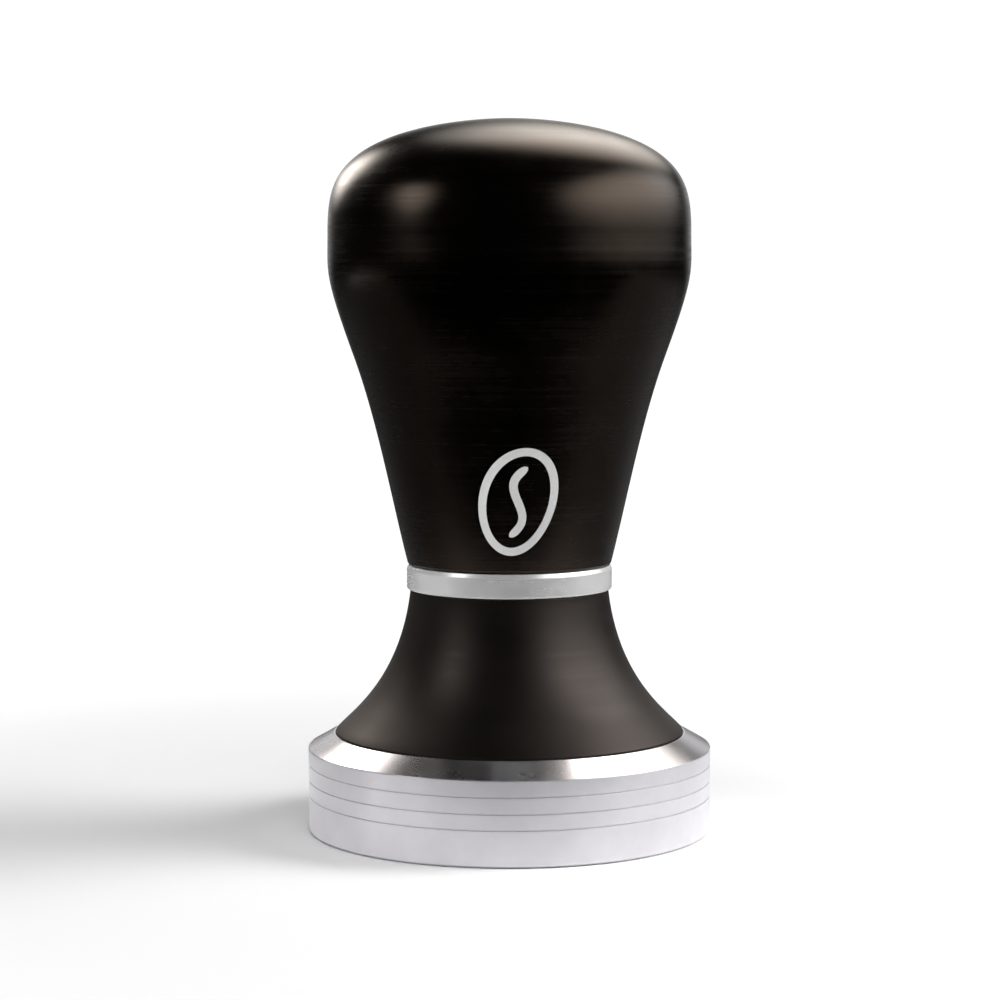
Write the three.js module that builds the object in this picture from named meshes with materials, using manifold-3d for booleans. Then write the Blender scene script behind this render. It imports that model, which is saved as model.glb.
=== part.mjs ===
// Espresso tamper for 58 mm filter baskets.
//
// A solid stainless piston carries a turned aluminium neck, held down by a shoulder stud. The handle
// screws on to the stud's upper thread and clamps a spacer ring, which sets the tamper's height.
// Millimetres, +Z up along the common axis. The origin is the centre of the flat tamping face.

import * as THREE from 'three';
import { mergeVertices } from 'three/addons/utils/BufferGeometryUtils.js';
import Module from 'manifold-3d';

const wasm = await Module();
wasm.setup();

// ---------------------------------------------------------------- driving dimensions

const BASE_RADIUS = 29.25;
const SIDE_HEIGHT = 12.05;           // straight side, from the tamping face to the bevel
const LIP_RADIUS = 25.55;            // inner end of the bevel
const LIP_HEIGHT = 14.15;
const SEAT_RADIUS = 25.35;           // recess that the neck stands in
const SEAT_HEIGHT = 13.8;
const GROOVE_HEIGHTS = [5.2, 7.42, 9.75];
const GROOVE_WIDTH = 0.24;
const GROOVE_DEPTH = 0.2;
const BASE_EDGE = 0.3;

const NECK_TOP = 35.1;
const NECK_TOP_RADIUS = 14.4;
const NECK_FOOT_RADIUS = 25.25;
const NECK_FOOT_LAND = 14.4;         // the flare starts above this short upright land
const NECK_EDGE = 0.4;
const NECK_BORE = 4.5;
const SOCKET_RADIUS = 9;             // room for a socket spanner round the stud's collar
const SOCKET_FLOOR = 24;
const STEP_HEIGHT = 32.6;            // ledge between the spanner socket and the locating recess

const SPIGOT_RADIUS = 11.6;          // male register below the ring and below the handle
const RECESS_RADIUS = 11.7;          // female register in the neck and in the ring
const SPIGOT_DROP = 2.3;

const RING_TOP = 38.6;
const RING_RADIUS = 14.88;
const RING_BAND = 0.6;               // height of the ring's top chamfer
const RING_BAND_DEPTH = 0.25;
const RING_EDGE = 0.35;
const RECESS_DEPTH = 2.5;
const SEAL_RISE = 1.1;               // height of the seal groove's middle above the spigot's bottom

const HANDLE_TOP = 102.75;
const HANDLE_FOOT_RADIUS = 14.7;
const HANDLE_EDGE = 0.5;
const HANDLE_FLARE = 0.13;           // how far the side has opened at the top of the rounded edge
const BORE_HEADROOM = 1.2;           // drilled depth above the insert

const PITCH = 1.25;                  // M8 x 1.25, right-handed
const THREAD_CREST = 4;
const THREAD_ROOT = 3.233;
const THREAD_CLEARANCE = 0.15;
const THREAD_STEPS = 16;             // facets in one turn
const THREAD_RUN_IN = 0.8;           // chamfer at the ends of a male thread
const TAP_MOUTH = 4.45;              // radius of the countersink at the mouth of a tapped hole

const STUD_BOTTOM = 6.2;
const STUD_TOP = 45.8;
const STUD_SHANK = 3.9;
const SHANK_BOTTOM = 14.4;
const STUD_RELIEF = 1.6;             // plain neck between the collar and the upper thread
const DRILL_FLOOR = 5.6;
const DRILL_RADIUS = 3.4;
const COLLAR_ACROSS_FLATS = 13;
const COLLAR_HEIGHT = 3.6;
const COLLAR_EDGE = 0.6;

const WASHER_RADIUS = 8;
const WASHER_THICKNESS = 1.6;
const WASHER_EDGE = 0.25;
const SPRING_WASHER_RADIUS = 7.2;
const SPRING_WASHER_THICKNESS = 2;
const SPRING_WASHER_SPLIT = 16;      // degrees
const WASHER_BORE = 4.2;

const PIN_RADIUS = 1.5;
const PIN_CIRCLE = 14;
const PIN_BOTTOM = 10;
const PIN_TOP = 17;
const PIN_EDGE = 0.4;

const INSERT_RADIUS = 5.6;
const INSERT_TOP = 46.3;
const INSERT_EDGE = 0.5;
const FLANGE_RADIUS = 9;
const FLANGE_THICKNESS = 2.2;
const DRILL_TIP_ANGLE = 31;          // a 118 degree drill point, from the horizontal

const SCREW_COUNT = 3;
const SCREW_CIRCLE = 7.3;
const SCREW_HEAD_RADIUS = 1.55;
const SCREW_RADIUS = 0.8;
const SCREW_LENGTH = 6.5;
const SCREW_SINK = 0.2;              // depth of the head below the flange's face
const SCREW_RIM = 0.2;               // upright rim of the head, before its taper
const SCREW_KEY = 0.9;               // across the flats of the key socket
const SCREW_KEY_DEPTH = 0.8;

// The outer sides as knots. lean is the side's angle in degrees, outwards from upright going up;
// before and after are the lengths of the curve handles below and above the knot; steps divides the
// curve up to the next knot.
const NECK_SIDE = [
  { radius: NECK_FOOT_RADIUS, height: NECK_FOOT_LAND, lean: -41.2, after: 3.15, steps: 10 },
  { radius: NECK_TOP_RADIUS, height: NECK_TOP - NECK_EDGE, lean: -6.8, before: 13.25 },
];
const HANDLE_SIDE = [
  {
    radius: HANDLE_FOOT_RADIUS + HANDLE_FLARE,
    height: RING_TOP + HANDLE_EDGE,
    lean: 14.2,
    after: 8.86,
    steps: 7,
  },
  { radius: 22.46, height: 68.74, lean: 19.85, before: 10.1, after: 12.74, steps: 6 },
  { radius: 26.13, height: 86.5, lean: 0, before: 5.78, after: 5.17, steps: 6 },
  { radius: 21.85, height: 97.46, lean: -52.1, before: 4.48, after: 6.99, steps: 8 },
  { radius: 0, height: HANDLE_TOP, lean: -90, before: 5.29 },
];

const FOOT_SEAL = { radius: 20.5, width: 2.1, height: 1.26, grooveWidth: 2.6, grooveDepth: 1.3 };
const SPIGOT_SEAL = { radius: 11.17, width: 1, height: 1.2, grooveWidth: 1.4, grooveDepth: 1.0 };

const CLEARANCE = 0.1;               // between pieces that slide into one another
const OVERRUN = 1;                   // how far a cut runs past a face, or a joined piece into its neighbour
const ROUND_STEPS = 40;              // facets round the large turned pieces
const SMALL_STEPS = 24;              // facets round the small turned pieces
const SCREW_STEPS = 14;
const SEAL_STEPS = 32;
const SEAL_SECTION_STEPS = 8;
const INSERT_STEPS = 32;
const EDGE_STEPS = 3;                // facets along a rounded edge
const DEGREE = Math.PI / 180;

// ---------------------------------------------------------------- geometry helpers

const point = (radius, height) => new THREE.Vector2(radius, height);

// The point that a curve handle reaches from a knot: upwards, or downwards for a negative length.
function handleEnd(knot, length) {
  const lean = knot.lean * DEGREE;
  return point(knot.radius + length * Math.sin(lean), knot.height + length * Math.cos(lean));
}

// The points of a side through its knots, as one smooth run of cubic curves.
function side(knots) {
  const points = [point(knots[0].radius, knots[0].height)];
  for (let i = 1; i < knots.length; i += 1) {
    const below = knots[i - 1];
    const above = knots[i];
    const span = new THREE.CubicBezierCurve(
      handleEnd(below, 0),
      handleEnd(below, below.after),
      handleEnd(above, -above.before),
      handleEnd(above, 0),
    );
    points.push(...span.getPoints(below.steps).slice(1));
  }
  return points;
}

// The rounded corner of an outline, from one side's last point to the next side's first.
function rounded(from, corner, to) {
  return new THREE.QuadraticBezierCurve(from, corner, to).getPoints(EDGE_STEPS);
}

// A turned body about Z. The outline runs anticlockwise in the (radius, height) half-plane.
function turned(outline, steps = ROUND_STEPS) {
  return new THREE.LatheGeometry(outline.flat(), steps).rotateX(Math.PI / 2);
}

// A turned body whose outline is a loop that doesn't meet the axis.
function turnedLoop(outline, steps = ROUND_STEPS) {
  const loop = outline.flat();
  return turned([...loop, loop[0]], steps);
}

// A closed three.js geometry as a solid. Triangles that merging collapses on the axis are dropped.
function solid(geometry) {
  const bare = geometry.clone().deleteAttribute('normal').deleteAttribute('uv');
  const merged = mergeVertices(bare);
  const corners = merged.index.array;
  const kept = [];
  for (let i = 0; i < corners.length; i += 3) {
    const [a, b, c] = corners.slice(i, i + 3);
    if (a !== b && b !== c && c !== a) kept.push(a, b, c);
  }
  return solidFrom(merged.attributes.position.array, kept);
}

function solidFrom(positions, corners) {
  return new wasm.Manifold(new wasm.Mesh({
    numProp: 3,
    vertProperties: Float32Array.from(positions),
    triVerts: Uint32Array.from(corners),
  }));
}

function geometryOf(made) {
  const { vertProperties, triVerts } = made.getMesh();
  const geometry = new THREE.BufferGeometry();
  geometry.setAttribute('position', new THREE.BufferAttribute(Float32Array.from(vertProperties), 3));
  geometry.setIndex(new THREE.BufferAttribute(Uint32Array.from(triVerts), 1));
  geometry.computeVertexNormals();
  return geometry;
}

// A plain round rod or drilled hole.
function rod(radius, low, high, steps = SMALL_STEPS) {
  return solid(turned([point(0, low), point(radius, low), point(radius, high), point(0, high)], steps));
}

// A rod with chamfered ends.
function chamferedRod(radius, low, high, chamfer, steps = SMALL_STEPS) {
  return solid(turned([
    point(0, low), point(radius - chamfer, low), point(radius, low + chamfer),
    point(radius, high - chamfer), point(radius - chamfer, high), point(0, high),
  ], steps));
}

// A 45 degree countersink for a tapped hole, TAP_MOUTH wide at the face and opening up (1) or down (-1).
function tapCountersink(face, side) {
  const low = face - OVERRUN;
  const high = face + OVERRUN;
  return solid(turned([
    point(0, low),
    point(TAP_MOUTH - side * OVERRUN, low),
    point(TAP_MOUTH + side * OVERRUN, high),
    point(0, high),
  ], SMALL_STEPS));
}

function hexagonalBar(acrossFlats, low, high) {
  const corners = [];
  for (let side = 0; side < 6; side += 1) {
    const angle = side * 60 * DEGREE;
    const radius = acrossFlats / Math.sqrt(3);
    corners.push(new THREE.Vector2(radius * Math.cos(angle), radius * Math.sin(angle)));
  }
  const bar = new THREE.ExtrudeGeometry(new THREE.Shape(corners), { depth: high - low, bevelEnabled: false });
  return solid(bar.translate(0, 0, low));
}

// An endless right-hand V thread, longer at both ends than low..high. Its phase depends only on
// height and angle, so a male and a female thread made here are in mesh as they stand. Each turn
// has four helical edges: both edges of the root flat, then both edges of the crest flat.
function threadedBar(growth, low, high) {
  const depth = THREAD_CREST - THREAD_ROOT;
  const flank = depth * Math.tan(30 * DEGREE) / PITCH;
  const crestFlat = 1 / 8;
  const rootFlat = 1 - crestFlat - 2 * flank;
  const edges = [
    { rise: 0, radius: THREAD_ROOT },
    { rise: rootFlat, radius: THREAD_ROOT },
    { rise: rootFlat + flank, radius: THREAD_CREST },
    { rise: rootFlat + flank + crestFlat, radius: THREAD_CREST },
  ];
  const firstTurn = Math.floor(low / PITCH) - 2;
  const turns = Math.ceil(high / PITCH) + 2 - firstTurn;
  const rows = turns * edges.length;
  const positions = [];
  for (let column = 0; column < THREAD_STEPS; column += 1) {
    const angle = 2 * Math.PI * column / THREAD_STEPS;
    for (let row = 0; row <= rows; row += 1) {
      const edge = edges[row % edges.length];
      const turn = firstTurn + Math.floor(row / edges.length) + edge.rise + column / THREAD_STEPS;
      const radius = edge.radius + growth;
      positions.push(radius * Math.cos(angle), radius * Math.sin(angle), turn * PITCH);
    }
  }
  const at = (column, row) => column * (rows + 1) + row;
  const bottom = positions.length / 3;
  const top = bottom + 1;
  positions.push(0, 0, firstTurn * PITCH, 0, 0, (firstTurn + turns + 1) * PITCH);

  const corners = [];
  const quad = (a, b, c, d) => corners.push(a, b, c, a, c, d);
  const last = THREAD_STEPS - 1;
  for (let column = 0; column < last; column += 1) {
    for (let row = 0; row < rows; row += 1) {
      quad(at(column, row), at(column + 1, row), at(column + 1, row + 1), at(column, row + 1));
    }
    corners.push(at(column + 1, 0), at(column, 0), bottom);
    corners.push(at(column, rows), at(column + 1, rows), top);
  }
  // The last column meets the first one turn higher up, which leaves a step in each end cap.
  const turn = edges.length;
  for (let row = 0; row < rows - turn; row += 1) {
    quad(at(last, row), at(0, row + turn), at(0, row + turn + 1), at(last, row + 1));
  }
  corners.push(at(0, turn), at(last, 0), bottom);
  corners.push(at(last, rows - turn), at(0, rows), top);
  for (let row = 0; row < turn; row += 1) {
    corners.push(at(0, row), at(0, row + 1), bottom);
    corners.push(at(last, rows - row), at(last, rows - row - 1), top);
  }
  return solidFrom(positions, corners);
}

// A male thread with chamfered ends.
function maleThread(low, high) {
  const spare = 0.5;
  const trim = chamferedRod(THREAD_CREST + spare, low, high, THREAD_RUN_IN + spare);
  return threadedBar(0, low, high).intersect(trim);
}

// What a tap removes between two heights.
function tappedHole(low, high) {
  return threadedBar(THREAD_CLEARANCE, low, high).intersect(rod(THREAD_CREST + OVERRUN, low, high));
}

// ---------------------------------------------------------------- finishes

function finish(color, metalness, roughness) {
  return new THREE.MeshStandardMaterial({ color, metalness, roughness });
}

const blackAnodised = finish(0x0b0908, 0.6, 0.38);
const brownAnodised = finish(0x2b2522, 0.6, 0.42);
const satinAluminium = finish(0xd6d6d5, 1, 0.34);
const polishedSteel = finish(0xdcd9dc, 1, 0.22);
const plainSteel = finish(0xb4b2ad, 1, 0.35);
const brass = finish(0xc7a24f, 1, 0.32);
const blackSteel = finish(0x1d1d1f, 0.8, 0.45);
const nitrile = finish(0x141414, 0, 0.75);

const tamper = new THREE.Group();

function place(name, made, material) {
  const mesh = new THREE.Mesh(geometryOf(made), material);
  mesh.name = name;
  tamper.add(mesh);
}

// ---------------------------------------------------------------- piston base

function grooveOutline(height) {
  return [
    point(BASE_RADIUS, height - GROOVE_WIDTH / 2),
    point(BASE_RADIUS - GROOVE_DEPTH, height),
    point(BASE_RADIUS, height + GROOVE_WIDTH / 2),
  ];
}

function pinHoles(radius, low, high) {
  return [0, 180].map((angle) => rod(radius, low, high, SCREW_STEPS)
    .translate([PIN_CIRCLE * Math.cos(angle * DEGREE), 0, 0]));
}

function pistonBase() {
  const blank = solid(turned([
    point(0, 0),
    point(BASE_RADIUS - BASE_EDGE, 0),
    point(BASE_RADIUS, BASE_EDGE),
    GROOVE_HEIGHTS.map(grooveOutline),
    point(BASE_RADIUS, SIDE_HEIGHT),
    point(LIP_RADIUS, LIP_HEIGHT),
    point(SEAT_RADIUS, LIP_HEIGHT),
    point(SEAT_RADIUS, SEAT_HEIGHT),
    point(0, SEAT_HEIGHT),
  ].flat(2)));
  const above = SEAT_HEIGHT + OVERRUN;
  const cuts = [
    rod(DRILL_RADIUS, DRILL_FLOOR, above),
    tappedHole(STUD_BOTTOM, above),
    tapCountersink(SEAT_HEIGHT, 1),
    ...pinHoles(PIN_RADIUS + CLEARANCE / 2, PIN_BOTTOM - CLEARANCE, above),
  ];
  return cuts.reduce((body, cut) => body.subtract(cut), blank);
}

// ---------------------------------------------------------------- neck

function neck() {
  const groove = FOOT_SEAL;
  const grooveRoof = SEAT_HEIGHT + groove.grooveDepth;
  const blank = solid(turnedLoop([
    point(NECK_BORE, SEAT_HEIGHT),
    point(groove.radius - groove.grooveWidth / 2, SEAT_HEIGHT),
    point(groove.radius - groove.grooveWidth / 2, grooveRoof),
    point(groove.radius + groove.grooveWidth / 2, grooveRoof),
    point(groove.radius + groove.grooveWidth / 2, SEAT_HEIGHT),
    point(NECK_FOOT_RADIUS, SEAT_HEIGHT),
    side(NECK_SIDE),
    point(NECK_TOP_RADIUS - NECK_EDGE, NECK_TOP),
    point(RECESS_RADIUS, NECK_TOP),
    point(RECESS_RADIUS, STEP_HEIGHT),
    point(SOCKET_RADIUS, STEP_HEIGHT),
    point(SOCKET_RADIUS, SOCKET_FLOOR),
    point(NECK_BORE, SOCKET_FLOOR),
  ]));
  const holes = pinHoles(PIN_RADIUS + CLEARANCE / 2, SEAT_HEIGHT - OVERRUN, PIN_TOP + CLEARANCE);
  return holes.reduce((body, hole) => body.subtract(hole), blank);
}

// ---------------------------------------------------------------- stud and its washers

const WASHER_TOP = SOCKET_FLOOR + WASHER_THICKNESS;
const COLLAR_BOTTOM = WASHER_TOP + SPRING_WASHER_THICKNESS;
const COLLAR_TOP = COLLAR_BOTTOM + COLLAR_HEIGHT;

function shoulderStud() {
  const corner = COLLAR_ACROSS_FLATS / Math.sqrt(3);
  const collar = hexagonalBar(COLLAR_ACROSS_FLATS, COLLAR_BOTTOM, COLLAR_TOP)
    .intersect(chamferedRod(corner, COLLAR_BOTTOM, COLLAR_TOP, COLLAR_EDGE));
  const upperThreadBottom = COLLAR_TOP + STUD_RELIEF;
  return maleThread(STUD_BOTTOM, SHANK_BOTTOM + THREAD_RUN_IN)
    .add(rod(STUD_SHANK, SHANK_BOTTOM, COLLAR_BOTTOM + OVERRUN))
    .add(collar)
    .add(rod(THREAD_ROOT, COLLAR_TOP - OVERRUN, upperThreadBottom + OVERRUN))
    .add(maleThread(upperThreadBottom, STUD_TOP));
}

function flatWasher() {
  return solid(turnedLoop([
    point(WASHER_BORE, SOCKET_FLOOR),
    point(WASHER_RADIUS, SOCKET_FLOOR),
    point(WASHER_RADIUS, WASHER_TOP - WASHER_EDGE),
    point(WASHER_RADIUS - WASHER_EDGE, WASHER_TOP),
    point(WASHER_BORE, WASHER_TOP),
  ], SMALL_STEPS));
}

function springWasher() {
  const outline = new THREE.Shape();
  const start = SPRING_WASHER_SPLIT / 2 * DEGREE;
  outline.absarc(0, 0, SPRING_WASHER_RADIUS, start, 2 * Math.PI - start, false);
  outline.absarc(0, 0, WASHER_BORE, 2 * Math.PI - start, start, true);
  const ring = new THREE.ExtrudeGeometry(outline, {
    depth: SPRING_WASHER_THICKNESS,
    bevelEnabled: false,
    curveSegments: SMALL_STEPS / 2,
  });
  return solid(ring.translate(0, 0, WASHER_TOP));
}

function dowelPin(side) {
  const pin = chamferedRod(PIN_RADIUS, PIN_BOTTOM, PIN_TOP, PIN_EDGE, SCREW_STEPS);
  return pin.translate([side * PIN_CIRCLE, 0, 0]);
}

// ---------------------------------------------------------------- seals

// A rubber ring squeezed to an oval section, centred at a height.
function sealRing(seal, middle) {
  const section = [];
  for (let i = 0; i < SEAL_SECTION_STEPS; i += 1) {
    const angle = 2 * Math.PI * i / SEAL_SECTION_STEPS;
    const radius = seal.radius + seal.width / 2 * Math.cos(angle);
    section.push(point(radius, middle + seal.height / 2 * Math.sin(angle)));
  }
  return solid(turnedLoop(section, SEAL_STEPS));
}

// ---------------------------------------------------------------- spacer ring

function spacerRing() {
  return solid(turnedLoop([
    point(NECK_BORE, NECK_TOP - SPIGOT_DROP),
    point(SPIGOT_RADIUS, NECK_TOP - SPIGOT_DROP),
    point(SPIGOT_RADIUS, NECK_TOP),
    point(RING_RADIUS - RING_EDGE, NECK_TOP),
    rounded(
      point(RING_RADIUS - RING_EDGE, NECK_TOP),
      point(RING_RADIUS, NECK_TOP),
      point(RING_RADIUS, NECK_TOP + RING_EDGE),
    ),
    point(RING_RADIUS, RING_TOP - RING_BAND),
    point(RING_RADIUS - RING_BAND_DEPTH, RING_TOP),
    point(RECESS_RADIUS, RING_TOP),
    point(RECESS_RADIUS, RING_TOP - RECESS_DEPTH),
    point(NECK_BORE, RING_TOP - RECESS_DEPTH),
  ]));
}

// ---------------------------------------------------------------- handle and its insert

const SPIGOT_BOTTOM = RING_TOP - SPIGOT_DROP;
const FLANGE_TOP = SPIGOT_BOTTOM + FLANGE_THICKNESS;
const SEAL_HEIGHT = SPIGOT_BOTTOM + SEAL_RISE;

function screwPlaces() {
  const places = [];
  for (let i = 0; i < SCREW_COUNT; i += 1) {
    const angle = (90 + 360 * i / SCREW_COUNT) * DEGREE;
    places.push([SCREW_CIRCLE * Math.cos(angle), SCREW_CIRCLE * Math.sin(angle), 0]);
  }
  return places;
}

function handleBody() {
  const boreRadius = INSERT_RADIUS + CLEARANCE;
  const boreTop = INSERT_TOP + BORE_HEADROOM;
  const tip = boreTop + boreRadius * Math.tan(DRILL_TIP_ANGLE * DEGREE);
  const recess = FLANGE_RADIUS + CLEARANCE;
  const groove = SPIGOT_SEAL;
  const grooveRadius = SPIGOT_RADIUS - groove.grooveDepth;
  const blank = solid(turned([
    point(0, tip),
    point(boreRadius, boreTop),
    point(boreRadius, FLANGE_TOP),
    point(recess, FLANGE_TOP),
    point(recess, SPIGOT_BOTTOM),
    point(SPIGOT_RADIUS, SPIGOT_BOTTOM),
    point(SPIGOT_RADIUS, SEAL_HEIGHT - groove.grooveWidth / 2),
    point(grooveRadius, SEAL_HEIGHT - groove.grooveWidth / 2),
    point(grooveRadius, SEAL_HEIGHT + groove.grooveWidth / 2),
    point(SPIGOT_RADIUS, SEAL_HEIGHT + groove.grooveWidth / 2),
    point(SPIGOT_RADIUS, RING_TOP),
    rounded(
      point(HANDLE_FOOT_RADIUS - HANDLE_EDGE, RING_TOP),
      point(HANDLE_FOOT_RADIUS, RING_TOP),
      point(HANDLE_FOOT_RADIUS + HANDLE_FLARE, RING_TOP + HANDLE_EDGE),
    ),
    side(HANDLE_SIDE).slice(1),
  ]));
  const holes = screwPlaces().map((place) => rod(
    SCREW_RADIUS + CLEARANCE,
    FLANGE_TOP - OVERRUN,
    SPIGOT_BOTTOM + SCREW_LENGTH + CLEARANCE,
    SCREW_STEPS,
  ).translate(place));
  return holes.reduce((body, hole) => body.subtract(hole), blank);
}

function threadedInsert() {
  const blank = solid(turned([
    point(0, SPIGOT_BOTTOM),
    point(FLANGE_RADIUS, SPIGOT_BOTTOM),
    point(FLANGE_RADIUS, FLANGE_TOP),
    point(INSERT_RADIUS, FLANGE_TOP),
    point(INSERT_RADIUS, INSERT_TOP - INSERT_EDGE),
    point(INSERT_RADIUS - INSERT_EDGE, INSERT_TOP),
    point(0, INSERT_TOP),
  ], INSERT_STEPS));
  const screwHole = countersunkScrew(CLEARANCE, SPIGOT_BOTTOM - OVERRUN);
  const cuts = [
    tappedHole(SPIGOT_BOTTOM - OVERRUN, INSERT_TOP + OVERRUN),
    tapCountersink(SPIGOT_BOTTOM, -1),
    ...screwPlaces().map((place) => screwHole.translate(place)),
  ];
  return cuts.reduce((body, cut) => body.subtract(cut), blank);
}

// A countersunk screw from its rim upwards, head down, grown all round by the clearance of its hole.
function countersunkScrew(growth, rim) {
  const head = SCREW_HEAD_RADIUS + growth;
  const shank = SCREW_RADIUS + growth;
  const taperBottom = SPIGOT_BOTTOM + SCREW_SINK + SCREW_RIM;
  return solid(turned([
    point(0, rim),
    point(head, rim),
    point(head, taperBottom),
    point(shank, taperBottom + head - shank),
    point(shank, SPIGOT_BOTTOM + SCREW_LENGTH),
    point(0, SPIGOT_BOTTOM + SCREW_LENGTH),
  ], SCREW_STEPS));
}

function insertScrew(place) {
  const rim = SPIGOT_BOTTOM + SCREW_SINK;
  const key = hexagonalBar(SCREW_KEY, rim - OVERRUN, rim + SCREW_KEY_DEPTH);
  return countersunkScrew(0, rim).subtract(key).translate(place);
}

// ---------------------------------------------------------------- assembly

place('base_piston', pistonBase(), polishedSteel);
place('neck', neck(), brownAnodised);
place('dowel_pin_left', dowelPin(-1), plainSteel);
place('dowel_pin_right', dowelPin(1), plainSteel);
place('shoulder_stud', shoulderStud(), plainSteel);
place('flat_washer', flatWasher(), plainSteel);
place('spring_washer', springWasher(), plainSteel);
place('foot_o_ring', sealRing(FOOT_SEAL, SEAT_HEIGHT + FOOT_SEAL.grooveDepth / 2), nitrile);
place('spacer_ring', spacerRing(), satinAluminium);
place('handle_body', handleBody(), blackAnodised);
place('spigot_o_ring', sealRing(SPIGOT_SEAL, SEAL_HEIGHT), nitrile);
place('threaded_insert', threadedInsert(), brass);
for (const [index, position] of screwPlaces().entries()) {
  place(`insert_screw_${index + 1}`, insertScrew(position), blackSteel);
}

export default tamper;
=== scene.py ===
# Espresso tamper: fine turned meshes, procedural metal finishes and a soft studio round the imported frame.
import math

import bmesh
import bpy
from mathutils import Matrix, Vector

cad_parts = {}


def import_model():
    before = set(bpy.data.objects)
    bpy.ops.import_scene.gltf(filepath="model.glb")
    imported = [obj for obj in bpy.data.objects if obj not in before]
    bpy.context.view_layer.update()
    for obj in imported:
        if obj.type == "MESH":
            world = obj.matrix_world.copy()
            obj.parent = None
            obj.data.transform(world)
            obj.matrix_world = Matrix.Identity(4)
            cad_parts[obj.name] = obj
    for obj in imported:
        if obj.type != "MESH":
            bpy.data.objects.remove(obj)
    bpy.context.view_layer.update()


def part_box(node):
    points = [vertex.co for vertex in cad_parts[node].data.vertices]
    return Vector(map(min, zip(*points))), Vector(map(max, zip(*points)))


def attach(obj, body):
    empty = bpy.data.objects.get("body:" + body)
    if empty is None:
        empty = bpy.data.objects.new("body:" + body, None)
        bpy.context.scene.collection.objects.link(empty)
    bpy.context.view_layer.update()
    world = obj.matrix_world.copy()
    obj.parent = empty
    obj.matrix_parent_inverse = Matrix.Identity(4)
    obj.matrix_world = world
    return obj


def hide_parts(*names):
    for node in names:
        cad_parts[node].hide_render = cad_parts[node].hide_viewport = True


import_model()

MM = 0.001
COLUMNS = 192          # facets round a large turned piece
SMALL_COLUMNS = 96     # facets round threads, washers and seals
TINY_COLUMNS = 48      # facets round pins and screws
WELD = 0.002           # points closer than this, in millimetres, become one
SLIVER = 0.001         # edges shorter than this, in millimetres, are taken out

# ------------------------------------------------------------------ sizes, in millimetres


def height_of(node, corner):
    """The lowest (0) or highest (1) point of a CAD node."""
    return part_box(node)[corner].z / MM


def radius_of(node):
    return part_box(node)[1].x / MM


BASE_RADIUS = radius_of("base_piston")
LIP_HEIGHT = height_of("base_piston", 1)
SEAT_HEIGHT = height_of("neck", 0)
NECK_TOP = height_of("neck", 1)
RING_BOTTOM = height_of("spacer_ring", 0)
RING_TOP = height_of("spacer_ring", 1)
RING_RADIUS = radius_of("spacer_ring")
HANDLE_BOTTOM = height_of("handle_body", 0)
HANDLE_TOP = height_of("handle_body", 1)
STUD_BOTTOM = height_of("shoulder_stud", 0)
STUD_TOP = height_of("shoulder_stud", 1)
SOCKET_FLOOR = height_of("flat_washer", 0)
WASHER_TOP = height_of("flat_washer", 1)
COLLAR_BOTTOM = height_of("spring_washer", 1)
INSERT_TOP = height_of("threaded_insert", 1)

SIDE_HEIGHT = 12.05
LIP_RADIUS = 25.55
SEAT_RADIUS = 25.35
GROOVE_HEIGHTS = [5.2, 7.42, 9.75]
GROOVE_WIDTH = 0.24
GROOVE_DEPTH = 0.2
BASE_EDGE = 0.3

NECK_FOOT_RADIUS = 25.25
NECK_FOOT_LAND = 14.4
NECK_TOP_RADIUS = 14.4
NECK_EDGE = 0.4
PASSAGE_RADIUS = 4.5
SOCKET_RADIUS = 9
STEP_HEIGHT = 32.6

SPIGOT_RADIUS = 11.6
RECESS_RADIUS = 11.7
RECESS_DEPTH = 2.5
RING_EDGE = 0.35
RING_BAND = 0.6
RING_BAND_DEPTH = 0.25

HANDLE_FOOT_RADIUS = 14.7
HANDLE_EDGE = 0.5
HANDLE_FLARE = 0.13

PITCH = 1.25
THREAD_CREST = 4
THREAD_ROOT = 3.233
THREAD_CLEARANCE = 0.15
TAP_MOUTH = 4.45
DRILL_TIP = math.radians(31)     # a 118 degree drill point, from the horizontal

# ------------------------------------------------------------------ outlines and turned meshes

SUPPORT = 0.2     # how far past a rounding its supporting points stand, as a share of the rounding


class Knot:
    """A knot of a side: its place, its angle outwards from upright going up, in degrees, and the
    lengths of the curve handles below and above it."""

    def __init__(self, radius, height, lean, before=0.0, after=0.0):
        self.place = Vector((radius, height))
        self.way = Vector((math.sin(math.radians(lean)), math.cos(math.radians(lean))))
        self.before = before
        self.after = after


def side(knots, steps):
    """The points of a side through its knots, as one smooth run of cubic curves."""
    points = [knots[0].place]
    for below, above in zip(knots, knots[1:]):
        pull_up = below.place + below.way * below.after
        pull_down = above.place - above.way * above.before
        for k in range(1, steps + 1):
            t = k / steps
            start = below.place * (1 - t) ** 3 + pull_up * 3 * t * (1 - t) ** 2
            points.append(start + pull_down * 3 * t * t * (1 - t) + above.place * t**3)
    return points


def outline(*parts, steps=5):
    """One run of points from corners (radius, height) or (radius, height, rounding) and from ready-made
    curves. A supporting point past each end of a rounding keeps the flat beside it shaded flat."""
    corners = []
    for part in parts:
        if isinstance(part, list):
            corners += [(*p[:2], 0) for p in part]
        else:
            corners.append((*part, 0)[:3])
    points = []
    for i, (radius, height, rounding) in enumerate(corners):
        here = Vector((radius, height))
        if not rounding:
            points.append(here)
            continue
        before = Vector(corners[i - 1][:2])
        after = Vector(corners[(i + 1) % len(corners)][:2])
        way_in, way_out = (before - here).normalized(), (after - here).normalized()
        start, end = here + way_in * rounding, here + way_out * rounding
        points.append(start + way_in * rounding * SUPPORT)
        for k in range(steps + 1):
            t = k / steps
            points.append(start * (1 - t) ** 2 + here * 2 * t * (1 - t) + end * t * t)
        points.append(end + way_out * rounding * SUPPORT)
    return points


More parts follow.
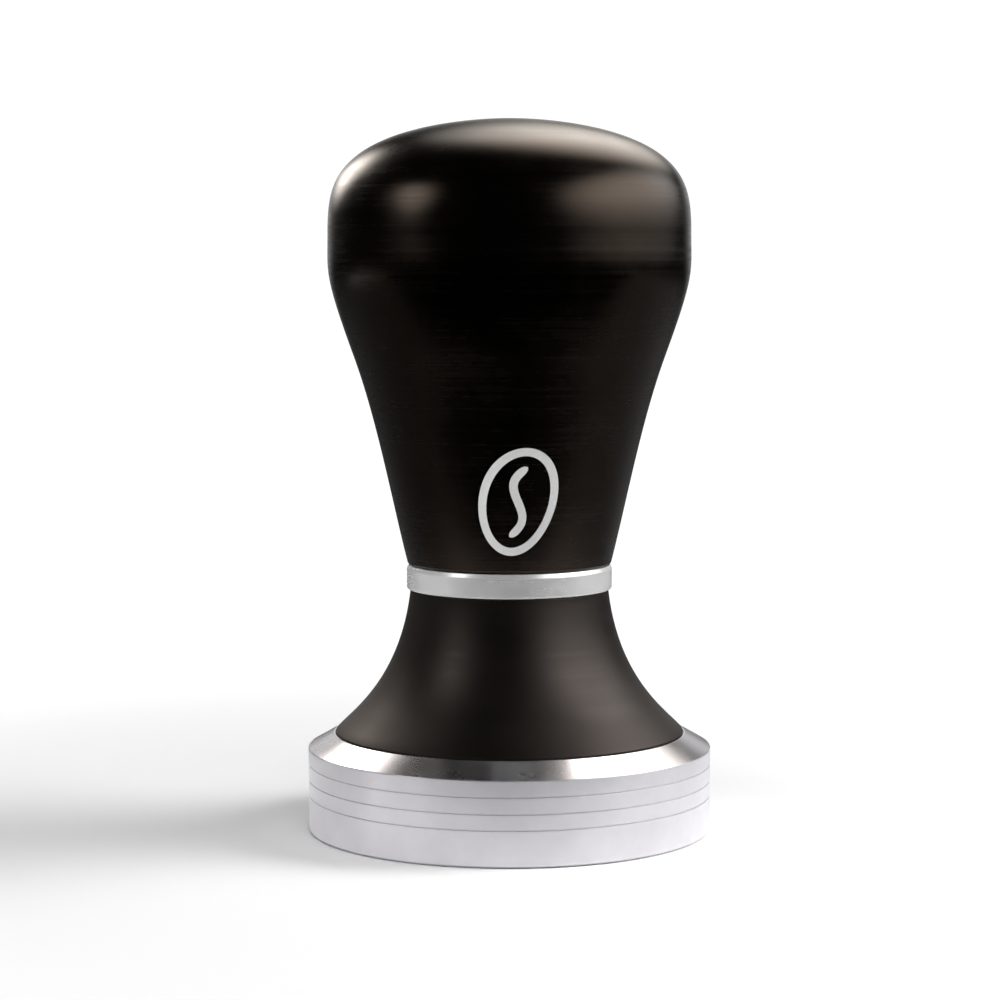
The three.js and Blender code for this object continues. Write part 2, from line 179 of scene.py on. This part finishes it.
def finished(name, bm, body, node, material, sharp=35):
    """Turns a bmesh into a smooth piece that rides on a body and stands for a CAD node."""
    bmesh.ops.remove_doubles(bm, verts=bm.verts, dist=WELD * MM)
    bmesh.ops.dissolve_degenerate(bm, dist=SLIVER * MM, edges=bm.edges)
    bmesh.ops.recalc_face_normals(bm, faces=bm.faces)
    mesh = bpy.data.meshes.new(name)
    bm.to_mesh(mesh)
    bm.free()
    mesh.shade_smooth()
    mesh.set_sharp_from_angle(angle=math.radians(sharp))
    piece = bpy.data.objects.new(name, mesh)
    bpy.context.scene.collection.objects.link(piece)
    mesh.materials.append(material)
    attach(piece, body)
    if node:
        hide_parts(node)
    return piece


def swept(column, columns=COLUMNS, loop=False, centre=(0, 0)):
    """A bmesh whose outline at each angle is column(angle), a list of (radius, height) in millimetres."""
    bm = bmesh.new()
    rows = []
    for i in range(columns + 1):
        angle = 2 * math.pi * i / columns
        points = column(angle)
        if loop:
            points = [*points, points[0]]
        cosine, sine = math.cos(angle), math.sin(angle)
        rows.append([
            bm.verts.new(((centre[0] + r * cosine) * MM, (centre[1] + r * sine) * MM, z * MM))
            for r, z in points
        ])
    for left, right in zip(rows, rows[1:]):
        for k in range(len(left) - 1):
            bm.faces.new((left[k], right[k], right[k + 1], left[k + 1]))
    return bm


def turned(name, points, body, node, material, loop=False, columns=COLUMNS):
    return finished(name, swept(lambda angle: points, columns, loop), body, node, material)


def hexagon_radius(across_flats, angle):
    """How far a hexagon's side is from its centre in one direction."""
    sector = math.pi / 3
    return across_flats / 2 / math.cos((angle + sector / 2) % sector - sector / 2)


def thread(angle, low, high, growth=0.0, opening=False):
    """The points of a right-hand thread between two heights, seen at one angle. A male thread's ends
    are chamfered down to its root, and an opening thread's ends are countersunk out to its mouth."""
    flat, flank = 0.166, 0.354
    shape = [
        (0.0, 0.0), (flat, 0.0), (flat + 0.1 * flank, 0.06), (flat + 0.9 * flank, 0.95),
        (flat + flank, 1.0), (1 - flank, 1.0), (1 - 0.9 * flank, 0.95), (1 - 0.1 * flank, 0.06),
    ]
    points = []
    first = math.floor(low / PITCH) - 2
    for turn in range(first, math.ceil(high / PITCH) + 2):
        for rise, share in shape:
            wound = (turn + rise + angle / (2 * math.pi)) * PITCH
            height = min(max(wound, low), high)
            radius = THREAD_ROOT + share * (THREAD_CREST - THREAD_ROOT) + growth
            inset = min(height - low, high - height)
            if opening:
                radius = max(radius, TAP_MOUTH - inset)
            else:
                radius = min(radius, THREAD_ROOT - 0.05 + inset)
            points.append((radius, height))
    return points


# ------------------------------------------------------------------ materials


FACE_SHARE = 0.73     # how much of the marks' spacing comes from the radius, for faces across the axis


class Nodes:
    """A short way to write a material's node tree."""

    def __init__(self, name):
        self.material = bpy.data.materials.new(name)
        self.material.use_nodes = True
        self.tree = self.material.node_tree
        self.shader = self.tree.nodes["Principled BSDF"]

    def add(self, kind, inputs=None, **settings):
        node = self.tree.nodes.new(kind)
        for key, value in settings.items():
            setattr(node, key, value)
        for key, value in (inputs or {}).items():
            self.put(node.inputs[key], value)
        return node

    def put(self, socket, value):
        if isinstance(value, bpy.types.NodeSocket):
            self.tree.links.new(value, socket)
        else:
            socket.default_value = value

    def math(self, operation, first, second=0.0):
        return self.add("ShaderNodeMath", {0: first, 1: second}, operation=operation).outputs[0]

    def ranged(self, value, low, high, to_low, to_high):
        inputs = {"Value": value, "From Min": low, "From Max": high, "To Min": to_low, "To Max": to_high}
        return self.add("ShaderNodeMapRange", inputs).outputs[0]

    def eased(self, value, low, high):
        """0 below low, 1 above high and a soft step between them."""
        inputs = {"Value": value, "From Min": low, "From Max": high}
        return self.add("ShaderNodeMapRange", inputs, interpolation_type="SMOOTHSTEP").outputs[0]

    def noise(self, vector, scale, detail=3.0, roughness=0.5):
        inputs = {"Vector": vector, "Scale": scale, "Detail": detail, "Roughness": roughness}
        return self.add("ShaderNodeTexNoise", inputs).outputs["Fac"]

    def mixed(self, share, first, second):
        node = self.add("ShaderNodeMix", data_type="RGBA")
        self.put(node.inputs["Factor"], share)
        self.put(node.inputs["A"], first)
        self.put(node.inputs["B"], second)
        return node.outputs["Result"]

    def place(self):
        """The point on the surface, in metres."""
        return self.add("ShaderNodeTexCoord").outputs["Object"]

    def distance_from_axis(self, x, y):
        squares = self.math("ADD", self.math("MULTIPLY", x, x), self.math("MULTIPLY", y, y))
        return self.math("SQRT", squares)

    def lathe_marks(self, wander, fineness):
        """Noise drawn out round the axis, as a cutting tool leaves it on sides, slopes and flat faces."""
        place = self.add("ShaderNodeSeparateXYZ", {0: self.place()})
        x, y, z = place.outputs
        radius = self.distance_from_axis(x, y)
        along = self.math("ADD", z, self.math("MULTIPLY", radius, FACE_SHARE))
        inputs = {
            "X": self.math("MULTIPLY", x, wander),
            "Y": self.math("MULTIPLY", y, wander),
            "Z": self.math("MULTIPLY", along, fineness),
        }
        vector = self.add("ShaderNodeCombineXYZ", inputs).outputs[0]
        return self.noise(vector, 1.0, 2.0, 0.6)

    def bump(self, *layers):
        """Stacks (height, distance in metres, strength) layers on the shader's normal."""
        normal = None
        for height, distance, strength in layers:
            inputs = {"Height": height, "Distance": distance, "Strength": strength}
            if normal is not None:
                inputs["Normal"] = normal
            normal = self.add("ShaderNodeBump", inputs).outputs[0]
        self.put(self.shader.inputs["Normal"], normal)

    def set(self, **values):
        for key, value in values.items():
            self.put(self.shader.inputs[key.replace("_", " ")], value)


def turned_metal(name, colour, roughness, spread, marks, anisotropy, metallic=1.0, sides=None):
    """A lathe-turned metal: its highlights are drawn out across the marks, which differ a little in gloss.
    Where sides are given, as (height, roughness, metallic), what is below that height has its own finish."""
    n = Nodes(name)
    if sides:
        height = n.add("ShaderNodeSeparateXYZ", {0: n.place()}).outputs["Z"]
        top, brushed, dulled = sides
        blend_low, blend_high = (top - 0.15) * MM, (top + 0.1) * MM
        roughness = n.ranged(height, blend_low, blend_high, brushed, roughness)
        metallic = n.ranged(height, blend_low, blend_high, dulled, metallic)
    coarse = n.lathe_marks(10, 1500)
    fine = n.lathe_marks(24, 4200)
    smudges = n.noise(n.place(), 90, 4, 0.6)
    uneven = n.ranged(coarse, 0.3, 0.7, -spread, spread)
    gloss = n.math("ADD", uneven, n.ranged(smudges, 0.35, 0.65, -spread, spread))
    n.set(Roughness=n.math("ADD", gloss, roughness), Metallic=metallic)
    n.set(Anisotropic=anisotropy, Anisotropic_Rotation=0.25)
    darker = tuple(c * 0.88 for c in colour)
    n.set(Base_Color=n.mixed(n.ranged(smudges, 0.3, 0.7, 0, 1), (*darker, 1), (*colour, 1)))
    n.set(Tangent=n.add("ShaderNodeTangent", direction_type="RADIAL", axis="Z").outputs[0])
    n.bump((coarse, marks, 0.5), (fine, marks * 0.3, 0.4))
    return n.material


def rubber():
    n = Nodes("nitrile_rubber")
    grain = n.noise(n.place(), 3000, 2)
    n.set(Base_Color=n.mixed(grain, (0.006, 0.006, 0.006, 1), (0.02, 0.02, 0.02, 1)))
    n.set(Roughness=n.ranged(grain, 0.3, 0.7, 0.5, 0.7))
    n.bump((grain, 0.00002, 0.4))
    return n.material


def printed_ink():
    n = Nodes("white_print")
    grain = n.noise(n.place(), 2600, 3)
    n.set(Base_Color=n.mixed(grain, (0.72, 0.72, 0.71, 1), (0.86, 0.86, 0.85, 1)))
    n.set(Roughness=n.ranged(grain, 0.3, 0.7, 0.42, 0.6))
    n.bump((grain, 0.00001, 0.4))
    return n.material


PISTON_STEEL = turned_metal(
    "turned_stainless", (0.87, 0.85, 0.885), 0.26, 0.02, 0.000003, 0.6, sides=(SIDE_HEIGHT, 0.32, 0.62)
)
NECK_FINISH = turned_metal("brown_anodised", (0.067, 0.057, 0.052), 0.46, 0.03, 0.000002, 0.2)
HANDLE_FINISH = turned_metal("black_anodised", (0.046, 0.036, 0.029), 0.25, 0.04, 0.0000015, 0.1)
RING_FINISH = turned_metal("satin_aluminium", (0.9, 0.9, 0.895), 0.25, 0.02, 0.000003, 0.3, 0.45)
HARDWARE_STEEL = turned_metal("plain_stainless", (0.56, 0.55, 0.53), 0.28, 0.04, 0.000003, 0.3)
SCREW_STEEL = turned_metal("black_oxide", (0.04, 0.04, 0.043), 0.4, 0.05, 0.000003, 0.2)
BRASS = turned_metal("machined_brass", (0.78, 0.58, 0.28), 0.25, 0.04, 0.000003, 0.4)
RUBBER = rubber()
INK = printed_ink()

# ------------------------------------------------------------------ base body


def groove(height):
    """A levelling groove with a narrow floor and softened lips."""
    return [
        (BASE_RADIUS, height - GROOVE_WIDTH / 2, 0.03),
        (BASE_RADIUS - GROOVE_DEPTH, height - GROOVE_WIDTH / 6),
        (BASE_RADIUS - GROOVE_DEPTH, height + GROOVE_WIDTH / 6),
        (BASE_RADIUS, height + GROOVE_WIDTH / 2, 0.03),
    ]


def piston():
    drill_floor, drill_radius = STUD_BOTTOM - 0.6, 3.4
    grooves = [corner for height in GROOVE_HEIGHTS for corner in groove(height)]
    outside = outline(
        (0, 0), (BASE_RADIUS - BASE_EDGE, 0, 0.1), (BASE_RADIUS, BASE_EDGE, 0.1), *grooves,
        (BASE_RADIUS, SIDE_HEIGHT, 0.12), (LIP_RADIUS, LIP_HEIGHT, 0.06), (SEAT_RADIUS, LIP_HEIGHT, 0.04),
        (SEAT_RADIUS, SEAT_HEIGHT), (TAP_MOUTH, SEAT_HEIGHT),
    )

    def column(angle):
        tapped = thread(angle, STUD_BOTTOM, SEAT_HEIGHT, THREAD_CLEARANCE, opening=True)
        drilled = [(drill_radius, STUD_BOTTOM), (drill_radius, drill_floor), (0, drill_floor)]
        return [*outside, *reversed(tapped), *drilled]

    finished("piston", swept(column), "base", "base_piston", PISTON_STEEL)


def neck():
    seal_low, seal_high, seal_roof = 19.2, 21.8, SEAT_HEIGHT + 1.3
    foot = Knot(NECK_FOOT_RADIUS, NECK_FOOT_LAND, -41.2, after=3.15)
    throat = Knot(NECK_TOP_RADIUS, NECK_TOP - NECK_EDGE, -6.8, before=13.25)
    points = outline(
        (PASSAGE_RADIUS, SEAT_HEIGHT), (seal_low, SEAT_HEIGHT), (seal_low, seal_roof), (seal_high, seal_roof),
        (seal_high, SEAT_HEIGHT), (NECK_FOOT_RADIUS, SEAT_HEIGHT), side([foot, throat], 40),
        (NECK_TOP_RADIUS, NECK_TOP, NECK_EDGE * 0.8), (RECESS_RADIUS, NECK_TOP, 0.15),
        (RECESS_RADIUS, STEP_HEIGHT), (SOCKET_RADIUS, STEP_HEIGHT, 0.15),
        (SOCKET_RADIUS, SOCKET_FLOOR, 0.3), (PASSAGE_RADIUS, SOCKET_FLOOR, 0.1),
    )
    turned("neck_flare", points, "base", "neck", NECK_FINISH, loop=True)


def stud():
    across_flats, collar_height, edge = 13, 3.6, 0.6
    shank, shank_bottom, relief = 3.9, 14.4, 1.6
    collar_top = COLLAR_BOTTOM + collar_height
    face_radius = across_flats / math.sqrt(3) - edge * 1.7     # where the corners' chamfer starts

    def column(angle):
        flats = hexagon_radius(across_flats, angle)
        fall = (flats - face_radius) * 0.6
        collar = [
            (min(flats, face_radius), COLLAR_BOTTOM), (flats, COLLAR_BOTTOM + fall),
            (flats, collar_top - fall), (min(flats, face_radius), collar_top),
        ]
        return [
            (0, STUD_BOTTOM), *thread(angle, STUD_BOTTOM, shank_bottom), (shank, shank_bottom + 0.4),
            (shank, COLLAR_BOTTOM), *collar, (THREAD_ROOT - 0.05, collar_top),
            *thread(angle, collar_top + relief, STUD_TOP), (0, STUD_TOP),
        ]

    bm = swept(column, SMALL_COLUMNS)
    finished("stud_with_collar", bm, "base", "shoulder_stud", HARDWARE_STEEL)


def flat_washer():
    bore = 4.2
    rim = radius_of("flat_washer")
    points = outline(
        (bore, SOCKET_FLOOR, 0.1), (rim, SOCKET_FLOOR, 0.1),
        (rim, WASHER_TOP, 0.25), (bore, WASHER_TOP, 0.1),
    )
    turned(
        "washer_plain", points, "base", "flat_washer", HARDWARE_STEEL,
        loop=True, columns=SMALL_COLUMNS,
    )


def spring_washer():
    """A split ring, swept from one face of its slanting cut to the other."""
    bore, rim = 4.2, -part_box("spring_washer")[0].x / MM
    split, slant = math.radians(16), math.radians(8)
    section = outline(
        (bore, WASHER_TOP, 0.1), (rim, WASHER_TOP, 0.1),
        (rim, COLLAR_BOTTOM, 0.1), (bore, COLLAR_BOTTOM, 0.1),
    )
    bm = bmesh.new()
    rings = []
    for i in range(SMALL_COLUMNS + 1):
        ring_angle = split / 2 + (2 * math.pi - split) * i / SMALL_COLUMNS
        row = []
        for r, z in section:
            angle = ring_angle + slant * (z - (WASHER_TOP + COLLAR_BOTTOM) / 2)
            row.append(bm.verts.new((r * math.cos(angle) * MM, r * math.sin(angle) * MM, z * MM)))
        rings.append(row)
    for near, far in zip(rings, rings[1:]):
        for k in range(len(section)):
            bm.faces.new((near[k - 1], far[k - 1], far[k], near[k]))
    bm.faces.new(rings[0])
    bm.faces.new(rings[-1])
    finished("washer_split", bm, "base", "spring_washer", HARDWARE_STEEL)


def dowel_pin(node):
    low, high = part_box(node)
    middle = (low + high) / 2 / MM
    radius, edge = (high.y - low.y) / 2 / MM, 0.4
    bottom, top = low.z / MM, high.z / MM
    points = outline((0, bottom), (radius, bottom, edge), (radius, top, edge), (0, top))
    bm = swept(lambda angle: points, TINY_COLUMNS, centre=(middle.x, middle.y))
    finished(node.replace("dowel_pin", "pin"), bm, "base", node, HARDWARE_STEEL)


def seal(name, node, body, width, steps=24):
    """A rubber ring, squeezed oval in its groove."""
    low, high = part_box(node)
    middle, tall = (low.z + high.z) / 2 / MM, (high.z - low.z) / MM
    radius = high.x / MM - width / 2
    points = []
    for k in range(steps):
        angle = 2 * math.pi * k / steps
        points.append((radius + width / 2 * math.cos(angle), middle + tall / 2 * math.sin(angle)))
    turned(name, points, body, node, RUBBER, loop=True, columns=SMALL_COLUMNS)


# ------------------------------------------------------------------ ring and handle bodies


def ring():
    points = outline(
        (PASSAGE_RADIUS, RING_BOTTOM, 0.15), (SPIGOT_RADIUS, RING_BOTTOM, 0.2), (SPIGOT_RADIUS, NECK_TOP),
        (RING_RADIUS, NECK_TOP, RING_EDGE), (RING_RADIUS, RING_TOP - RING_BAND, 0.1),
        (RING_RADIUS - RING_BAND_DEPTH, RING_TOP, 0.05), (RECESS_RADIUS, RING_TOP, 0.15),
        (RECESS_RADIUS, RING_TOP - RECESS_DEPTH), (PASSAGE_RADIUS, RING_TOP - RECESS_DEPTH, 0.15),
    )
    turned("height_ring", points, "ring", "spacer_ring", RING_FINISH, loop=True)


FLANGE_TOP = HANDLE_BOTTOM + 2.2
SEAL_HEIGHT = HANDLE_BOTTOM + 1.1
HANDLE_SIDE = side([
    Knot(HANDLE_FOOT_RADIUS + HANDLE_FLARE, RING_TOP + HANDLE_EDGE, 14.2, after=8.86),
    Knot(22.46, 68.74, 19.85, before=10.1, after=12.74),
    Knot(26.13, 86.5, 0, before=5.78, after=5.17),
    Knot(21.85, 97.46, -52.1, before=4.48, after=6.99),
    Knot(0, HANDLE_TOP, -90, before=5.29),
], 48)


def handle_radius(height):
    """The handle's radius at a height on its side."""
    for (r, z), (next_r, next_z) in zip(HANDLE_SIDE, HANDLE_SIDE[1:]):
        if z <= height <= next_z:
            return r + (next_r - r) * (height - z) / (next_z - z)
    raise ValueError("no such height on the handle")


def handle():
    bore, flange, groove_depth, groove_half = 5.7, 9.1, 1.0, 0.7
    tip = INSERT_TOP + 1.2
    points = outline(
        (0, tip + bore * math.tan(DRILL_TIP)), (bore, tip), (bore, FLANGE_TOP), (flange, FLANGE_TOP),
        (flange, HANDLE_BOTTOM, 0.1), (SPIGOT_RADIUS, HANDLE_BOTTOM, 0.2),
        (SPIGOT_RADIUS, SEAL_HEIGHT - groove_half), (SPIGOT_RADIUS - groove_depth, SEAL_HEIGHT - groove_half),
        (SPIGOT_RADIUS - groove_depth, SEAL_HEIGHT + groove_half), (SPIGOT_RADIUS, SEAL_HEIGHT + groove_half),
        (SPIGOT_RADIUS, RING_TOP), (HANDLE_FOOT_RADIUS, RING_TOP, HANDLE_EDGE), HANDLE_SIDE,
    )
    turned("handle_grip", points, "handle", "handle_body", HANDLE_FINISH, columns=256)


def insert():
    radius, flange, edge = 5.6, radius_of("threaded_insert"), 0.5
    outside = outline(
        (TAP_MOUTH, HANDLE_BOTTOM), (flange, HANDLE_BOTTOM, 0.15), (flange, FLANGE_TOP, 0.1),
        (radius, FLANGE_TOP), (radius, INSERT_TOP, edge), (TAP_MOUTH, INSERT_TOP),
    )

    def column(angle):
        tapped = thread(angle, HANDLE_BOTTOM, INSERT_TOP, THREAD_CLEARANCE, opening=True)
        return [*outside, *reversed(tapped)]

    bm = swept(column, SMALL_COLUMNS, loop=True)
    finished("insert_bush", bm, "handle", "threaded_insert", BRASS)


def insert_screw(node):
    low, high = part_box(node)
    middle = (low + high) / 2 / MM
    bottom, top = low.z / MM, high.z / MM
    head, shank, rim, key_depth, key = 1.55, 0.8, 0.2, 0.8, 0.9
    head_edge, end_edge = 0.08, 0.2

    def column(angle):
        flats = hexagon_radius(key, angle)
        return [
            (0, bottom + key_depth), (flats, bottom + key_depth), (flats, bottom),
            (head - head_edge, bottom), (head, bottom + head_edge), (head, bottom + rim),
            (shank, bottom + rim + head - shank), (shank, top - end_edge),
            (shank - end_edge, top), (0, top),
        ]

    bm = swept(column, TINY_COLUMNS, centre=(middle.x, middle.y))
    name = node.replace("insert_screw", "countersunk_screw")
    finished(name, bm, "handle", node, SCREW_STEEL)


# ------------------------------------------------------------------ printed mark

MARK_CENTRE = (1.2, 49.0)
MARK_HALF = (4.9, 7.2)
MARK_TILT = math.radians(-14)
MARK_STROKE = 1.15
INK_LIFT = 0.03        # how far the ink stands above the handle, and reaches into it
OVAL_STEPS = 96
SEAM_STEPS = 48
SEAM_BEND = 1.25
SEAM_GAP = 2.1         # from the seam's end to the oval's middle line
END_POINTS = 5         # points over which an open line narrows to its round end


def on_handle(u, v, lift):
    """A point of the flat artwork, wrapped round the front of the handle."""
    across = u * math.cos(MARK_TILT) - v * math.sin(MARK_TILT) + MARK_CENTRE[0]
    height = u * math.sin(MARK_TILT) + v * math.cos(MARK_TILT) + MARK_CENTRE[1]
    radius = handle_radius(height)
    angle = across / handle_radius(MARK_CENTRE[1]) - math.pi / 2
    return Vector(((radius + lift) * math.cos(angle), (radius + lift) * math.sin(angle), height)) * MM


def stroke(bm, line, closed):
    """A band of ink along a line of the artwork, with round ends where it is open."""
    count = len(line)
    layers = []
    for i, (u, v) in enumerate(line):
        before = Vector(line[i - 1] if closed or i else line[i])
        after = Vector(line[(i + 1) % count] if closed or i < count - 1 else line[i])
        along = (after - before).normalized()
        across = Vector((-along.y, along.x)) * MARK_STROKE / 2
        taper = 1.0
        if not closed:
            end = min(i, count - 1 - i) / END_POINTS
            taper = math.sqrt(max(0.0, 1 - (1 - min(end, 1)) ** 2)) or 0.05
        band = [Vector((u, v)) + across * share * taper for share in (-1, -0.5, 0, 0.5, 1)]
        layers.append((
            [bm.verts.new(on_handle(*spot, INK_LIFT)) for spot in band],
            [bm.verts.new(on_handle(*spot, -INK_LIFT)) for spot in band],
        ))
    pairs = list(zip(layers, layers[1:]))
    if closed:
        pairs.append((layers[-1], layers[0]))
    for (top, under), (next_top, next_under) in pairs:
        for k in range(4):
            bm.faces.new((top[k], next_top[k], next_top[k + 1], top[k + 1]))
            bm.faces.new((under[k], under[k + 1], next_under[k + 1], next_under[k]))
        bm.faces.new((top[0], under[0], next_under[0], next_top[0]))
        bm.faces.new((top[4], next_top[4], next_under[4], under[4]))
    if not closed:
        for top, under in (layers[0], layers[-1]):
            bm.faces.new((*top, *reversed(under)))


def bean_mark():
    """A plain coffee bean: an oval and the bent seam along its middle."""
    bm = bmesh.new()
    half_width, half_height = MARK_HALF
    oval = []
    for k in range(OVAL_STEPS):
        angle = 2 * math.pi * k / OVAL_STEPS
        oval.append((half_width * math.cos(angle), half_height * math.sin(angle)))
    stroke(bm, oval, True)
    seam_half = half_height - SEAM_GAP
    seam = []
    for k in range(SEAM_STEPS + 1):
        share = 2 * k / SEAM_STEPS - 1
        seam.append((-SEAM_BEND * math.sin(math.pi * share), seam_half * share))
    stroke(bm, seam, False)
    finished("bean_mark", bm, "handle", None, INK, sharp=60)


# ------------------------------------------------------------------ assembly

piston()
seal("foot_seal", "foot_o_ring", "base", 2.1)
neck()
dowel_pin("dowel_pin_left")
dowel_pin("dowel_pin_right")
stud()
flat_washer()
spring_washer()
ring()
handle()
seal("spigot_seal", "spigot_o_ring", "handle", 1.0)
insert()
for number in (1, 2, 3):
    insert_screw(f"insert_screw_{number}")
bean_mark()

# ------------------------------------------------------------------ studio

BACKDROP = 1.05        # strength of the white that the camera sees
ROOM = 0.015           # strength of the dim room that the metal mirrors
FLOOR_HALF = 3.0       # metres
FLOOR_DROP = 0.05      # millimetres that the floor lies below the tamping face
AIM_HEIGHT = 95        # millimetres up the axis that the softboxes face


def floor():
    """A pale sheet. To the camera it melts into the white backdrop further out. What the metal mirrors of it
    is painted black in front of the object and painted darker with distance. This is painted shade in its
    reflections, and it stands in for a small lit table."""
    bm = bmesh.new()
    bmesh.ops.create_grid(bm, x_segments=8, y_segments=8, size=FLOOR_HALF)
    mesh = bpy.data.meshes.new("floor")
    bm.to_mesh(mesh)
    bm.free()

    n = Nodes("pale_floor")
    place = n.place()
    x, y, _ = n.add("ShaderNodeSeparateXYZ", {0: place}).outputs
    radius = n.distance_from_axis(x, y)
    path = n.add("ShaderNodeLightPath").outputs
    # painted shade: for reflected rays the floor's colour is painted black in front of the object and darker
    # further out
    front = n.eased(n.math("MULTIPLY", y, -1), 0.045, 0.08)
    distant = n.math("MULTIPLY", n.eased(radius, 0.05, 0.12), 0.85)
    kept = n.math("MULTIPLY", n.math("SUBTRACT", 1.0, front), n.math("SUBTRACT", 1.0, distant))
    painted_reflection_shade = n.math("MULTIPLY", path["Is Glossy Ray"], n.math("SUBTRACT", 1.0, kept))
    n.set(Base_Color=n.mixed(painted_reflection_shade, (0.9, 0.9, 0.905, 1), (0, 0, 0, 1)), Roughness=0.9)
    n.set(Specular_IOR_Level=0.0)
    backdrop = n.add("ShaderNodeEmission", {"Color": (1, 1, 1, 1), "Strength": BACKDROP})
    melt = n.math("MULTIPLY", path["Is Camera Ray"], n.eased(radius, 0.07, 0.17))
    inputs = {0: melt, 1: n.shader.outputs[0], 2: backdrop.outputs[0]}
    whole = n.add("ShaderNodeMixShader", inputs).outputs[0]
    n.put(n.tree.nodes["Material Output"].inputs["Surface"], whole)
    mesh.materials.append(n.material)

    sheet = bpy.data.objects.new("floor", mesh)
    bpy.context.scene.collection.objects.link(sheet)
    sheet.location.z = -FLOOR_DROP * MM


def soften(lamp):
    """Fades a lamp from its middle to its rim, as the cloth of a real softbox does."""
    lamp.use_nodes = True
    tree = lamp.node_tree
    spot = tree.nodes.new("ShaderNodeNewGeometry").outputs["Parametric"]
    offset = tree.nodes.new("ShaderNodeVectorMath")
    offset.operation = "DISTANCE"
    offset.inputs[1].default_value = (0.5, 0.5, 0)
    tree.links.new(spot, offset.inputs[0])
    fade = tree.nodes.new("ShaderNodeMapRange")
    fade.interpolation_type = "SMOOTHSTEP"
    fade.inputs["From Min"].default_value = 0.5
    fade.inputs["From Max"].default_value = 0.05
    tree.links.new(offset.outputs["Value"], fade.inputs["Value"])
    tree.links.new(fade.outputs[0], tree.nodes["Emission"].inputs["Strength"])


WARM = (1.0, 0.94, 0.87)


def softbox(name, azimuth, elevation, distance, size, radiance, matt=False, colour=(1, 1, 1)):
    """A soft light seen from the handle's dome in a direction: azimuth 0 is the front and 90 the right.
    The matt ones light the floor and the matt part of the finishes, and the others are what metal mirrors."""
    around, above = math.radians(azimuth), math.radians(elevation)
    way = Vector((math.sin(around) * math.cos(above), -math.cos(around) * math.cos(above), math.sin(above)))
    aim = Vector((0, 0, AIM_HEIGHT * MM))
    lamp = bpy.data.lights.new(name, "AREA")
    lamp.shape = "RECTANGLE"
    lamp.size, lamp.size_y = size
    lamp.energy = radiance * math.pi * size[0] * size[1]
    lamp.color = colour
    soften(lamp)
    holder = bpy.data.objects.new(name, lamp)
    bpy.context.scene.collection.objects.link(holder)
    holder.location = aim + way * distance
    holder.rotation_euler = (-way).to_track_quat("-Z", "Y").to_euler()
    holder.visible_diffuse = matt
    holder.visible_glossy = not matt
    holder.visible_camera = False


def world():
    """White behind the object, and a dim room for what the metal reflects."""
    scene_world = bpy.data.worlds.new("studio")
    bpy.context.scene.world = scene_world
    scene_world.use_nodes = True
    tree = scene_world.node_tree
    background = tree.nodes["Background"]
    path = tree.nodes.new("ShaderNodeLightPath")
    strength = tree.nodes.new("ShaderNodeMapRange")
    strength.inputs["To Min"].default_value = ROOM
    strength.inputs["To Max"].default_value = BACKDROP
    tree.links.new(path.outputs["Is Camera Ray"], strength.inputs["Value"])
    tree.links.new(strength.outputs[0], background.inputs["Strength"])
    background.inputs["Color"].default_value = (1, 1, 1, 1)


def camera():
    """The photograph's camera, solved from the ellipses of the base, neck foot and ring."""
    distance, height, dip = 0.4007, 0.082, 4.87
    data = bpy.data.cameras.new("camera")
    data.sensor_width = 36
    data.lens = 99.83
    data.shift_x = -0.0094
    data.clip_start, data.clip_end = 0.01, 20
    eye = bpy.data.objects.new("camera", data)
    bpy.context.scene.collection.objects.link(eye)
    eye.location = (0, -distance, height)
    eye.rotation_euler = (math.radians(90 - dip), 0, 0)
    bpy.context.scene.camera = eye


floor()
world()
softbox("back_right_box", 158, 48, 0.35, (0.46, 0.5), 4.6, colour=WARM)
softbox("back_left_box", -141, 20, 0.25, (0.17, 0.17), 8, colour=WARM)
softbox("back_low_box", 180, 4, 0.5, (0.9, 0.3), 0.8)
softbox("front_right_box", 84, 22, 0.25, (0.76, 0.28), 3.8)
softbox("front_left_box", -62, 18, 0.25, (0.16, 0.16), 3.7)
softbox("left_box", -105, -14, 0.4, (0.36, 0.08), 1)
softbox("overhead_fill", 0, 75, 0.5, (0.7, 0.7), 5.6, matt=True)
softbox("right_fill", 95, 30, 0.5, (0.5, 0.5), 13.5, matt=True)
softbox("left_fill", -75, -6, 0.5, (0.4, 0.12), 28, matt=True)
camera()
bpy.context.scene.view_settings.view_transform = "Standard"
